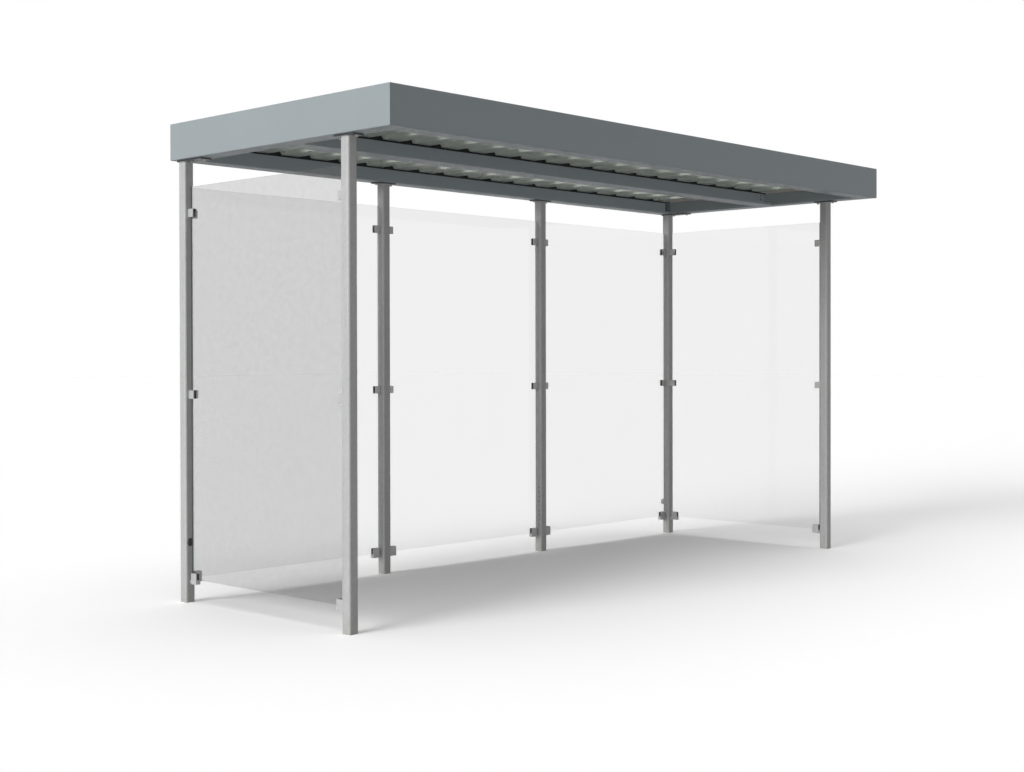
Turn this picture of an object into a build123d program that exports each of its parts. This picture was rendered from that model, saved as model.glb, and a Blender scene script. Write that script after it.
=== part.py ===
from build123d import *
import os

# Open waiting shelter: a flat roof in a deep folded fascia, carried by six square tube posts,
# with toughened glass held in clamps on the two ends and along the back.
# Millimetres. X runs along the front, +Y towards the back wall, +Z up.
# The origin is on the ground, under the middle of the roof.

# Roof outline
ROOF_LENGTH = 4440.0
ROOF_DEPTH = 1800.0
CLEAR_HEIGHT = 2420.0
FASCIA_HEIGHT = 200.0

# Posts, set in from the roof's edges
REAR_INSET = 60.0
END_INSET = 60.0
FRONT_OVERHANG = 365.0
REAR_BAYS = 3
POST_SIDE = 60.0
POST_WALL = 4.0
POST_CORNER_RADIUS = 12.0

# Folded fascia
FASCIA_SHEET = 3.0
FASCIA_FLANGE = 110.0
FASCIA_TOP_RETURN = 30.0
FOLD_LIP = 15.0
FOLD_RADIUS = 4.0

# Centre beam, its cleats and the ledges that carry the roof sheet
BEAM_HEIGHT = 100.0
BEAM_SHEET = 4.0
BEAM_FLANGE = 140.0
BEAM_TOP_FLANGE = 40.0
BEAM_OFFSET = 18.0
CLEAT_LEG = 60.0
CLEAT_THICKNESS = 5.0
CLEAT_HEIGHT = 60.0
LEDGE_LEG = 30.0
LEDGE_THICKNESS = 3.0

# Roof sheet
RIB_PITCH = 219.0
RIB_HEIGHT = 38.0
RIB_FOOT = 104.0
RIB_CREST = 44.0
ROOF_SHEET = 1.0
SHEET_GAP = 1.0

# Head plates and their bolts
PLATE_THICKNESS = 8.0
PLATE_WIDTH = 72.0
PLATE_END = 14.0
PLATE_CORNER = 5.0
BOLT_OFFSET = 59.0
LONG_PLATE_STEP = 119.0
BOLT_HOLE = 11.0

# Glass
GLASS_THICKNESS = 8.0
GLASS_BOTTOM = 130.0
GLASS_HEAD_GAP = 145.0
GLASS_GAP = 12.0
SIDE_GLASS_INSET = 5.0
REAR_GLASS_SETBACK = 9.0
GLASS_CORNER = 3.0

# Glass clamps
CLAMP_SIZE = 45.0
CLAMP_THICKNESS = 28.0
CLAMP_JAW = 4.5
CLAMP_CORNER = 3.0
TOP_CLAMP_DROP = 143.5
MIDDLE_CLAMP_HEIGHT = 1140.0
GASKET_BACK = 3.0
SHOE_WIDTH = 48.0
SHOE_HEIGHT = 59.0
SHOE_DROP = 27.0
SHOE_SPACER = 16.0
SPACER_DIAMETER = 22.0

# Roof drain and small openings
OUTLET_DIAMETER = 40.0
OUTLET_WALL = 2.0
OUTLET_DISH = 100.0
OUTLET_DROP = 120.0
PIPE_CLEARANCE = 1.0
SPOUT_LENGTH = 29.0
SPOUT_HEIGHT = 233.0
SERVICE_HOLE = 44.0
SERVICE_HOLE_HEIGHT = 331.0
BENCH_HOLE = 10.0
BENCH_HOLE_PITCH = 32.0
BENCH_HOLE_COUNT = 4
BENCH_HOLE_CENTRE = 314.0
BENCH_HOLE_OFFSET = -10.0

# Places worked out from the sizes above
REAR_ROW = ROOF_DEPTH / 2 - REAR_INSET
FRONT_ROW = FRONT_OVERHANG - ROOF_DEPTH / 2
END_COLUMN = ROOF_LENGTH / 2 - END_INSET
MIDDLE_COLUMN = END_COLUMN / REAR_BAYS
ROOF_TOP = CLEAR_HEIGHT + FASCIA_HEIGHT
SHEET_LEVEL = CLEAR_HEIGHT + BEAM_HEIGHT
POST_TOP = CLEAR_HEIGHT - PLATE_THICKNESS
GLASS_TOP = CLEAR_HEIGHT - GLASS_HEAD_GAP
HALF_POST = POST_SIDE / 2
GLASS_EDGE = HALF_POST + GLASS_GAP
SLOT_WIDTH = CLAMP_THICKNESS - 2 * CLAMP_JAW
INNER_LENGTH = ROOF_LENGTH - 2 * FASCIA_SHEET
INNER_DEPTH = ROOF_DEPTH - 2 * FASCIA_SHEET

POSTS = {
    "rear_left": (-END_COLUMN, REAR_ROW),
    "rear_mid_left": (-MIDDLE_COLUMN, REAR_ROW),
    "rear_mid_right": (MIDDLE_COLUMN, REAR_ROW),
    "rear_right": (END_COLUMN, REAR_ROW),
    "front_left": (-END_COLUMN, FRONT_ROW),
    "front_right": (END_COLUMN, FRONT_ROW),
}
DRAIN_POST = "rear_right"
SERVICE_POST = "rear_left"


def box_between(low, high):
    """A block from its lowest corner to its highest corner."""
    size = [b - a for a, b in zip(low, high)]
    return Pos(*low) * Box(*size, align=(Align.MIN, Align.MIN, Align.MIN))


def rod(start, direction, diameter, length):
    """A round bar from a start point along a direction."""
    return Solid.make_cylinder(diameter / 2, length, Plane(origin=start, z_dir=direction))


def folded_strip(points, thickness, side):
    """The face of a folded sheet whose one surface follows the points."""
    line = FilletPolyline(*points, radius=FOLD_RADIUS)
    return make_face(Wire(line.edges()).offset_2d(thickness, side=side, closed=True).edges())


def post(name):
    """A square tube post that stands on the ground, with its own holes."""
    x, y = POSTS[name]
    outer = RectangleRounded(POST_SIDE, POST_SIDE, POST_CORNER_RADIUS)
    bore_side = POST_SIDE - 2 * POST_WALL
    inner = RectangleRounded(bore_side, bore_side, POST_CORNER_RADIUS - POST_WALL)
    tube = Pos(x, y, 0) * extrude(outer - inner, POST_TOP)
    if name == SERVICE_POST:
        tube -= rod((x, y, SERVICE_HOLE_HEIGHT), (0, -1, 0), SERVICE_HOLE, POST_SIDE)
    if name == DRAIN_POST:
        tube -= rod((x, y, SPOUT_HEIGHT), (0, 1, 0), OUTLET_DIAMETER - 2 * OUTLET_WALL, POST_SIDE)
    if name in ("rear_mid_left", "rear_mid_right"):
        inward = 1 if x < 0 else -1
        for height in bench_hole_heights():
            start = (x, y + BENCH_HOLE_OFFSET, height)
            tube -= rod(start, (inward, 0, 0), BENCH_HOLE, POST_SIDE)
    return tube


def bench_hole_heights():
    """Heights of the bench holes: two runs, with one place left out between them."""
    steps = [k for k in range(-BENCH_HOLE_COUNT, BENCH_HOLE_COUNT + 1) if k != 0]
    return [BENCH_HOLE_CENTRE + k * BENCH_HOLE_PITCH for k in steps]


def bolt_places(name):
    """Plan positions of the bolts that hold a post's head plate to the roof frame."""
    x, y = POSTS[name]
    if name in ("rear_mid_left", "rear_mid_right"):
        return [(x - BOLT_OFFSET, y), (x + BOLT_OFFSET, y)]
    if y > 0:
        return [(x, y - BOLT_OFFSET), (x, y - BOLT_OFFSET - LONG_PLATE_STEP)]
    return [(x, y - BOLT_OFFSET), (x, y + BOLT_OFFSET)]


def head_plate(name):
    """The flat plate between a post and the underside of the roof frame."""
    x, y = POSTS[name]
    half = PLATE_WIDTH / 2
    places = bolt_places(name)
    low_x = min([x - half] + [px - PLATE_END for px, _ in places])
    high_x = max([x + half] + [px + PLATE_END for px, _ in places])
    low_y = min([y - half] + [py - PLATE_END for _, py in places])
    high_y = max([y + half] + [py + PLATE_END for _, py in places])
    outline = RectangleRounded(high_x - low_x, high_y - low_y, PLATE_CORNER)
    centre = Pos((low_x + high_x) / 2, (low_y + high_y) / 2, POST_TOP)
    plate = centre * extrude(outline, PLATE_THICKNESS)
    return plate - frame_holes(name)


def frame_holes(name):
    """Cutters for a post's bolts, and for the drain pipe, through plate and frame."""
    depth = PLATE_THICKNESS + 2 * FASCIA_SHEET
    cutters = [rod((px, py, POST_TOP), (0, 0, 1), BOLT_HOLE, depth) for px, py in bolt_places(name)]
    if name == DRAIN_POST:
        x, y = POSTS[name]
        bore = OUTLET_DIAMETER + 2 * PIPE_CLEARANCE
        cutters.append(rod((x, y, POST_TOP), (0, 0, 1), bore, depth))
    return cutters


def fascia_section():
    """The fascia's section: inward is +X and the outer face stands on X = 0."""
    points = [
        (FASCIA_TOP_RETURN, ROOF_TOP),
        (0, ROOF_TOP),
        (0, CLEAR_HEIGHT),
        (FASCIA_FLANGE, CLEAR_HEIGHT),
        (FASCIA_FLANGE, CLEAR_HEIGHT + FOLD_LIP),
    ]
    return folded_strip(points, FASCIA_SHEET, Side.LEFT)


def fascia(side):
    """One side of the fascia, mitred at both ends, with the holes of the posts under it."""
    along_x = side in ("front", "rear")
    length = ROOF_LENGTH if along_x else ROOF_DEPTH
    reach = ROOF_DEPTH / 2 if along_x else ROOF_LENGTH / 2
    section = Plane(origin=(0, 0, 0), x_dir=(0, 1, 0), z_dir=(1, 0, 0)) * fascia_section()
    bar = Pos(-length / 2, -reach, 0) * extrude(section, length)
    outer = length / 2
    inner = outer - FASCIA_FLANGE
    mitre = Polyline(
        (-outer, -reach),
        (outer, -reach),
        (inner, FASCIA_FLANGE - reach),
        (-inner, FASCIA_FLANGE - reach),
        close=True,
    )
    bar &= Pos(0, 0, CLEAR_HEIGHT) * extrude(make_face(mitre), FASCIA_HEIGHT)
    turn = {"front": 0, "right": 90, "rear": 180, "left": 270}[side]
    bar = Rot(0, 0, turn) * bar
    for name in POSTS:
        bar -= frame_holes(name)
    return bar


def centre_beam():
    """The folded beam along the roof's middle, notched over the end fascias' flanges."""
    web = BEAM_OFFSET
    points = [
        (web - BEAM_TOP_FLANGE, SHEET_LEVEL),
        (web, SHEET_LEVEL),
        (web, CLEAR_HEIGHT),
        (web - BEAM_FLANGE, CLEAR_HEIGHT),
        (web - BEAM_FLANGE, CLEAR_HEIGHT + FOLD_LIP),
    ]
    section = Plane.YZ * folded_strip(points, BEAM_SHEET, Side.RIGHT)
    beam = Pos(-INNER_LENGTH / 2, 0, 0) * extrude(section, INNER_LENGTH)
    notch_x = ROOF_LENGTH / 2 - FASCIA_FLANGE
    notch_top = CLEAR_HEIGHT + FOLD_LIP + SHEET_GAP
    for end in (-1, 1):
        edges = sorted((end * notch_x, end * ROOF_LENGTH))
        low = (edges[0], web - 2 * BEAM_FLANGE, CLEAR_HEIGHT - SHEET_GAP)
        beam -= box_between(low, (edges[1], web + BEAM_FLANGE, notch_top))
    return beam


def beam_cleats():
    """An angle at each end that fixes the centre beam to the fascia."""
    cleats = []
    for end in (-1, 1):
        face = end * INNER_LENGTH / 2
        low_z = SHEET_LEVEL - CLEAT_HEIGHT - SHEET_GAP
        high_z = SHEET_LEVEL - SHEET_GAP
        along = sorted((face, face - end * CLEAT_LEG))
        across = sorted((face, face - end * CLEAT_THICKNESS))
        low_y = BEAM_OFFSET
        web_leg = box_between((along[0], low_y, low_z), (along[1], low_y + CLEAT_THICKNESS, high_z))
        end_leg = box_between((across[0], low_y, low_z), (across[1], low_y + CLEAT_LEG, high_z))
        cleats.append(web_leg + end_leg)
    return Compound(children=[solid for cleat in cleats for solid in cleat.solids()])


def sheet_ledges():
    """Angles inside the front and the rear fascia that carry the ends of the roof sheet."""
    ledges = []
    for side in (-1, 1):
        face = side * INNER_DEPTH / 2
        flat = sorted((face, face - side * LEDGE_LEG))
        upright = sorted((face, face - side * LEDGE_THICKNESS))
        half = INNER_LENGTH / 2
        leg = box_between((-half, flat[0], SHEET_LEVEL - LEDGE_THICKNESS), (half, flat[1], SHEET_LEVEL))
        back = box_between((-half, upright[0], SHEET_LEVEL - LEDGE_LEG), (half, upright[1], SHEET_LEVEL))
        ledges.append(leg + back)
    return Compound(children=[solid for ledge in ledges for solid in ledge.solids()])


def roof_sheet():
    """The trapezoidal roof sheet, its ribs running from front to rear."""
    half = INNER_LENGTH / 2 - SHEET_GAP
    count = int((END_COLUMN - OUTLET_DISH / 2 - RIB_FOOT / 2) // RIB_PITCH)
    lower = [(-half, 0)]
    for k in range(-count, count + 1):
        x = k * RIB_PITCH
        lower += [(x - RIB_FOOT / 2, 0), (x - RIB_CREST / 2, RIB_HEIGHT)]
        lower += [(x + RIB_CREST / 2, RIB_HEIGHT), (x + RIB_FOOT / 2, 0)]
    lower.append((half, 0))
    upper = [(x, z + ROOF_SHEET) for x, z in reversed(lower)]
    section = Plane.XZ * make_face(Polyline(*lower, *upper, close=True))
    depth = INNER_DEPTH - 2 * SHEET_GAP
    sheet = Pos(0, depth / 2, SHEET_LEVEL) * extrude(section, depth)
    x, y = POSTS[DRAIN_POST]
    bore = OUTLET_DIAMETER + 2 * PIPE_CLEARANCE
    return sheet - rod((x, y, SHEET_LEVEL - SHEET_GAP), (0, 0, 1), bore, 2 * RIB_HEIGHT)


def roof_outlet():
    """The drain pipe from the roof sheet down into the drain post, with its dished rim."""
    x, y = POSTS[DRAIN_POST]
    radius = OUTLET_DIAMETER / 2
    bore = radius - OUTLET_WALL
    rim = OUTLET_DISH / 2
    base = SHEET_LEVEL + ROOF_SHEET
    end = POST_TOP - OUTLET_DROP
    points = [
        (bore, end),
        (radius, end),
        (radius, base),
        (rim, base),
        (rim, base + OUTLET_WALL),
        (radius + OUTLET_WALL, base + OUTLET_WALL),
        (bore, base - OUTLET_WALL),
    ]
    profile = Plane.XZ * make_face(Polyline(*points, close=True))
    return Pos(x, y, 0) * revolve(profile, Axis.Z)


def drain_spout():
    """The stub of pipe on the back of the drain post, around its hole, that lets the rain out."""
    x, y = POSTS[DRAIN_POST]
    start = (x, y + HALF_POST, SPOUT_HEIGHT)
    outer = rod(start, (0, 1, 0), OUTLET_DIAMETER, SPOUT_LENGTH)
    return outer - rod(start, (0, 1, 0), OUTLET_DIAMETER - 2 * OUTLET_WALL, SPOUT_LENGTH)


def glass_panel(wall):
    """One sheet of toughened glass, between two posts."""
    first, last, offset = WALLS[wall]
    (x0, y0), (x1, y1) = POSTS[first], POSTS[last]
    span = abs(x1 - x0) + abs(y1 - y0) - 2 * GLASS_EDGE
    outline = RectangleRounded(span, GLASS_TOP - GLASS_BOTTOM, GLASS_CORNER)
    pane = Rot(90, 0, 0) * extrude(outline, GLASS_THICKNESS / 2, both=True)
    turn = 0 if y0 == y1 else 90
    centre = ((x0 + x1) / 2 + offset[0], (y0 + y1) / 2 + offset[1], (GLASS_TOP + GLASS_BOTTOM) / 2)
    return Pos(*centre) * Rot(0, 0, turn) * pane


def clamp_heights():
    """Centre heights of the upper and the middle clamp."""
    return (GLASS_TOP - TOP_CLAMP_DROP, MIDDLE_CLAMP_HEIGHT)


def clamp_body():
    """A square clamp on the post's face, open towards the glass; the wall runs along +X."""
    block = Rot(90, 0, 0) * extrude(
        RectangleRounded(CLAMP_SIZE, CLAMP_SIZE, CLAMP_CORNER), CLAMP_THICKNESS / 2, both=True
    )
    block = Pos(HALF_POST + CLAMP_SIZE / 2, 0, 0) * block
    slot_start = GLASS_EDGE - GASKET_BACK
    half = SLOT_WIDTH / 2
    low = (slot_start, -half, -CLAMP_SIZE)
    return block - box_between(low, (HALF_POST + 2 * CLAMP_SIZE, half, CLAMP_SIZE))


def clamp_gasket():
    """The rubber that lines a clamp's slot and grips the glass."""
    half = SLOT_WIDTH / 2
    height = CLAMP_SIZE / 2
    end = HALF_POST + CLAMP_SIZE
    lining = box_between((GLASS_EDGE - GASKET_BACK, -half, -height), (end, half, height))
    pane = GLASS_THICKNESS / 2
    return lining - box_between((GLASS_EDGE, -pane, -2 * height), (2 * end, pane, 2 * height))


def shoe_body():
    """The lower clamp: a deeper shoe on a spacer, closed under the glass."""
    start = HALF_POST + SHOE_SPACER
    bottom = GLASS_BOTTOM - SHOE_DROP
    block = Rot(90, 0, 0) * extrude(
        RectangleRounded(SHOE_WIDTH, SHOE_HEIGHT, CLAMP_CORNER), CLAMP_THICKNESS / 2, both=True
    )
    block = Pos(start + SHOE_WIDTH / 2, 0, bottom + SHOE_HEIGHT / 2) * block
    half = SLOT_WIDTH / 2
    floor = GLASS_BOTTOM - GASKET_BACK
    block -= box_between((0, -half, floor), (2 * start + SHOE_WIDTH, half, 2 * GLASS_BOTTOM))
    middle = (HALF_POST, 0, bottom + (floor - bottom) / 2)
    return block + rod(middle, (1, 0, 0), SPACER_DIAMETER, SHOE_SPACER + CLAMP_JAW)


def shoe_gasket():
    """The rubber in a lower clamp, under and beside the glass."""
    start = HALF_POST + SHOE_SPACER
    end = start + SHOE_WIDTH
    half = SLOT_WIDTH / 2
    top = GLASS_BOTTOM - SHOE_DROP + SHOE_HEIGHT
    lining = box_between((start, -half, GLASS_BOTTOM - GASKET_BACK), (end, half, top))
    pane = GLASS_THICKNESS / 2
    return lining - box_between((0, -pane, GLASS_BOTTOM), (2 * end, pane, 2 * top))


def along_post(name, turn, offset, upper, lower):
    """Three copies up a post: two of the upper form and one of the lower form."""
    x, y = POSTS[name]
    place = Pos(x + offset[0], y + offset[1], 0) * Rot(0, 0, turn)
    pieces = [place * Pos(0, 0, height) * upper for height in clamp_heights()]
    pieces.append(place * lower)
    return [solid for piece in pieces for solid in piece.solids()]


# Each glass wall: the two posts it stands between and the glass's offset from their centres
WALLS = {
    "left": ("rear_left", "front_left", (SIDE_GLASS_INSET, 0)),
    "right": ("rear_right", "front_right", (-SIDE_GLASS_INSET, 0)),
    "rear_left": ("rear_left", "rear_mid_left", (0, REAR_GLASS_SETBACK)),
    "rear_mid": ("rear_mid_left", "rear_mid_right", (0, REAR_GLASS_SETBACK)),
    "rear_right": ("rear_mid_right", "rear_right", (0, REAR_GLASS_SETBACK)),
}


def wall_turns(wall):
    """The directions in which the wall leaves its first and its last post, in degrees."""
    first, last, _ = WALLS[wall]
    if POSTS[first][1] == POSTS[last][1]:
        return 0, 180
    return 270, 90


def build():
    """Every node of the shelter, by name."""
    nodes = {}
    for name in POSTS:
        nodes[f"post_{name}"] = post(name)
        nodes[f"head_plate_{name}"] = head_plate(name)
    for side in ("front", "rear", "left", "right"):
        nodes[f"fascia_{side}"] = fascia(side)
    nodes["centre_beam"] = centre_beam()
    nodes["beam_cleats"] = beam_cleats()
    nodes["sheet_ledges"] = sheet_ledges()
    nodes["roof_sheet"] = roof_sheet()
    nodes["roof_outlet"] = roof_outlet()
    nodes["drain_spout"] = drain_spout()
    clamp, shoe = clamp_body(), shoe_body()
    pad, shoe_pad = clamp_gasket(), shoe_gasket()
    for wall, (first, last, offset) in WALLS.items():
        nodes[f"glass_{wall}"] = glass_panel(wall)
        gaskets = []
        for end, name, turn in zip("ab", (first, last), wall_turns(wall)):
            nodes[f"clamps_{wall}_{end}"] = Compound(children=along_post(name, turn, offset, clamp, shoe))
            gaskets += along_post(name, turn, offset, pad, shoe_pad)
        nodes[f"gaskets_{wall}"] = Compound(children=gaskets)
    return nodes


os.makedirs("parts", exist_ok=True)
for node, shape in build().items():
    export_step(shape, f"parts/{node}.step")
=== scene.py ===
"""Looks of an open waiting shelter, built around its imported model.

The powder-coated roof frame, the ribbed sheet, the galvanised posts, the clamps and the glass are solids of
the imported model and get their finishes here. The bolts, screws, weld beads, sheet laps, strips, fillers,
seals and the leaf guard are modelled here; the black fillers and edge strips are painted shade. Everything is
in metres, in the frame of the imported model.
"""

import logging
import math
from dataclasses import dataclass
from enum import Enum
from functools import cached_property, partial
from typing import Any, Callable, Iterable

import bmesh
import bpy
from bpy.types import Material, Node, NodeSocket, NodeTree, Object
from mathutils import Matrix, Vector

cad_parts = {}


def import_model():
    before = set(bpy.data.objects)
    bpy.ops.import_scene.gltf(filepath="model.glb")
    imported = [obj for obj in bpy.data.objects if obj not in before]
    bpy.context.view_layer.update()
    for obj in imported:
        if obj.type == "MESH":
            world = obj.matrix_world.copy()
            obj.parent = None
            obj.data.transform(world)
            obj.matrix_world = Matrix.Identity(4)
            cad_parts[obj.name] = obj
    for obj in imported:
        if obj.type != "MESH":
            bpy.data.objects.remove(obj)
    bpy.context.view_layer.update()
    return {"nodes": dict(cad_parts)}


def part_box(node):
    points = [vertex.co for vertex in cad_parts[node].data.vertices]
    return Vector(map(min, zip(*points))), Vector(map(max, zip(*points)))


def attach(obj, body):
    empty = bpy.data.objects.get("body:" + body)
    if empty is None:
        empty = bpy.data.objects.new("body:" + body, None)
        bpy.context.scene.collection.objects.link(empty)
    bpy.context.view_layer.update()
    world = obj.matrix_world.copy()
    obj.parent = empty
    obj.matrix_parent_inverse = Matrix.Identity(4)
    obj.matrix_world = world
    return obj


Adder = Callable[..., Node]  # add_node with its tree filled in
LOG = logging.getLogger("shelter")
MM = 0.001
X, Y, Z = range(3)
NEARLY = 0.9  # the share of a normal or an edge along an axis from which it counts as along it
SMOOTH_ANGLE = 35.0  # in degrees; flatter edges than this are shaded smooth
BLEND = {"data_type": "RGBA"}  # a Mix node's settings where one colour goes over into another
SHADE = {"data_type": "RGBA", "blend_type": "MULTIPLY"}  # and where a pattern darkens a colour


class Slot(Enum):
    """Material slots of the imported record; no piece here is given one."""

    FASCIA = "fascia_paint"
    SHEET = "roof_coating"
    TUBE = "galvanised_tube"
    CLAMP = "clamp_metal"
    RUBBER = "black_rubber"


class Axis(Enum):
    """Directions in which a fastener's head can face, as the turn that brings +Z there."""

    FRONT = Matrix.Rotation(math.pi / 2, 4, "X")
    BACK = Matrix.Rotation(-math.pi / 2, 4, "X")
    RIGHT = Matrix.Rotation(math.pi / 2, 4, "Y")
    LEFT = Matrix.Rotation(-math.pi / 2, 4, "Y")


def linear(code: str) -> tuple[float, ...]:
    """Turns an sRGB hex colour to linear.

    Args:
        code: the colour, such as "#A6AEB1".

    Returns:
        Red, green, blue and an alpha of 1.
    """
    parts = [int(code[k : k + 2], 16) / 255 for k in (1, 3, 5)]
    return (*(p / 12.92 if p <= 0.04045 else ((p + 0.055) / 1.055) ** 2.4 for p in parts), 1.0)


def add_node(tree: NodeTree, kind: str, inputs: dict[Any, Any] | None = None, **settings: Any) -> Node:
    """Adds one node to a tree.

    Args:
        tree: the node tree.
        kind: the node's type name.
        inputs: socket names or numbers, each with a value or with what feeds it, which is an output socket or
            a node, for its first output in use.
        **settings: the node's own settings.

    Returns:
        The new node.
    """
    node = tree.nodes.new(kind)
    for key, value in settings.items():
        setattr(node, key, value)
    for key, value in (inputs or {}).items():
        if isinstance(value, Node):
            value = next(output for output in value.outputs if output.enabled)
        if isinstance(value, NodeSocket):
            tree.links.new(value, node.inputs[key])
        else:
            node.inputs[key].default_value = value
    return node


def new_material(name: str) -> tuple[Material, Adder]:
    """Makes an empty node material.

    Args:
        name: the material's name.

    Returns:
        The material, and add_node for its tree.
    """
    material = bpy.data.materials.new(name)
    material.use_nodes = True
    material.node_tree.nodes.clear()
    return material, partial(add_node, material.node_tree)


def spread(source: Any, low: float, high: float, near: float = 0.3, far: float = 0.7) -> dict[str, Any]:
    """A Map Range node's inputs that spread a pattern's range, from near to far, over low to high."""
    return {"Value": source, "From Min": near, "From Max": far, "To Min": low, "To Max": high}


def facing_up(add: Adder) -> Node:
    """Adds a node that gives 1 on faces that look up and 0 on upright and overhanging ones.

    Args:
        add: add_node for the tree.

    Returns:
        The node.
    """
    normal = add("ShaderNodeNewGeometry").outputs["Normal"]
    height = add("ShaderNodeSeparateXYZ", {0: normal}).outputs["Z"]
    return add("ShaderNodeMapRange", spread(height, 0.0, 1.0, 0.5, 0.95))


@dataclass(frozen=True)
class PowderCoat:
    """Polyester powder coat on folded sheet steel: even and satin, with fine orange peel and dust on top."""

    name: str = "powder_coated_steel"
    colour: str = "#939B9E"
    dust: str = "#B3B2AB"
    roughness: float = 0.48
    gloss: float = 0.2
    peel: float = 4.0 * MM  # real peel is about 1.5 mm, drawn coarser so that it shows
    cloud: float = 450.0 * MM
    dusting: float = 0.35  # how much of the colour the dust takes on top

    def material(self) -> Material:
        """Builds the material.

        Returns:
            The material.
        """
        material, add = new_material(self.name)
        place = add("ShaderNodeTexCoord").outputs["Object"]
        cloud = add("ShaderNodeTexNoise", {"Vector": place, "Scale": 1 / self.cloud, "Detail": 3})
        peel = add("ShaderNodeTexNoise", {"Vector": place, "Scale": 1 / self.peel, "Detail": 1})
        shade = add("ShaderNodeMapRange", spread(cloud, 0.975, 1.025))
        base = add("ShaderNodeMix", {0: 1.0, 6: linear(self.colour), 7: shade}, **SHADE)
        top = add("ShaderNodeMath", {0: facing_up(add), 1: self.dusting}, operation="MULTIPLY")
        colour = add("ShaderNodeMix", {0: top, 6: base, 7: linear(self.dust)}, **BLEND)
        rough = add("ShaderNodeMapRange", spread(cloud, self.roughness - 0.04, self.roughness + 0.05))
        bump = add("ShaderNodeBump", {"Height": peel, "Strength": 0.12, "Distance": 0.4 * MM})
        coat = {"Base Color": colour, "Roughness": rough, "Normal": bump, "Specular IOR Level": self.gloss}
        shader = add("ShaderNodeBsdfPrincipled", coat)
        add("ShaderNodeOutputMaterial", {"Surface": shader})
        return material


@dataclass(frozen=True)
class CoilCoat:
    """Coil-coated ribbed sheet: grey coat with dust in the pans on top, and a pale greenish coat below, made
    paler as painted light on the underside.
    """

    name: str = "coil_coated_sheet"
    # painted light: the underside's coat colour, made paler than the real coat to stand in for light on it
    backing_and_painted_light: str = "#E0E7DB"
    top: str = "#8F9794"
    dust: str = "#A19F96"
    roughness: float = 0.28
    metallic: float = 0.45
    drag: float = 30.0 * MM  # faint rolling marks run along the ribs
    stretch: float = 0.02
    patch: float = 1.0 / 6  # the dust lies in patches, about six to a metre

    def material(self) -> Material:
        """Builds the material.

        Returns:
            The material.
        """
        material, add = new_material(self.name)
        place = add("ShaderNodeTexCoord").outputs["Object"]
        along = add("ShaderNodeMapping", {"Vector": place, "Scale": (1.0, self.stretch, 1.0)})
        marks = add("ShaderNodeTexNoise", {"Vector": along, "Scale": 1 / self.drag, "Detail": 0})
        dirt = add("ShaderNodeTexNoise", {"Vector": place, "Scale": 1 / self.patch, "Detail": 5})
        shade = add("ShaderNodeMapRange", spread(marks, 0.985, 1.015))
        normal = add("ShaderNodeNewGeometry").outputs["Normal"]
        height = add("ShaderNodeSeparateXYZ", {0: normal}).outputs["Z"]
        upper = add("ShaderNodeMapRange", spread(height, 0.0, 1.0, -0.05, 0.05))
        # painted light: faces that look down take the paler underside colour
        coat = add("ShaderNodeMix", {0: upper, 6: linear(self.backing_and_painted_light), 7: linear(self.top)}, **BLEND)
        base = add("ShaderNodeMix", {0: 1.0, 6: coat, 7: shade}, **SHADE)
        patches = add("ShaderNodeMapRange", spread(dirt, 0.05, 0.35, 0.4, 0.65))
        top = add("ShaderNodeMath", {0: facing_up(add), 1: patches}, operation="MULTIPLY")
        colour = add("ShaderNodeMix", {0: top, 6: base, 7: linear(self.dust)}, **BLEND)
        rough = add("ShaderNodeMapRange", spread(dirt, self.roughness - 0.02, self.roughness + 0.05))
        coating = {"Base Color": colour, "Roughness": rough, "Metallic": self.metallic}
        shader = add("ShaderNodeBsdfPrincipled", coating)
        add("ShaderNodeOutputMaterial", {"Surface": shader})
        return material


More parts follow.
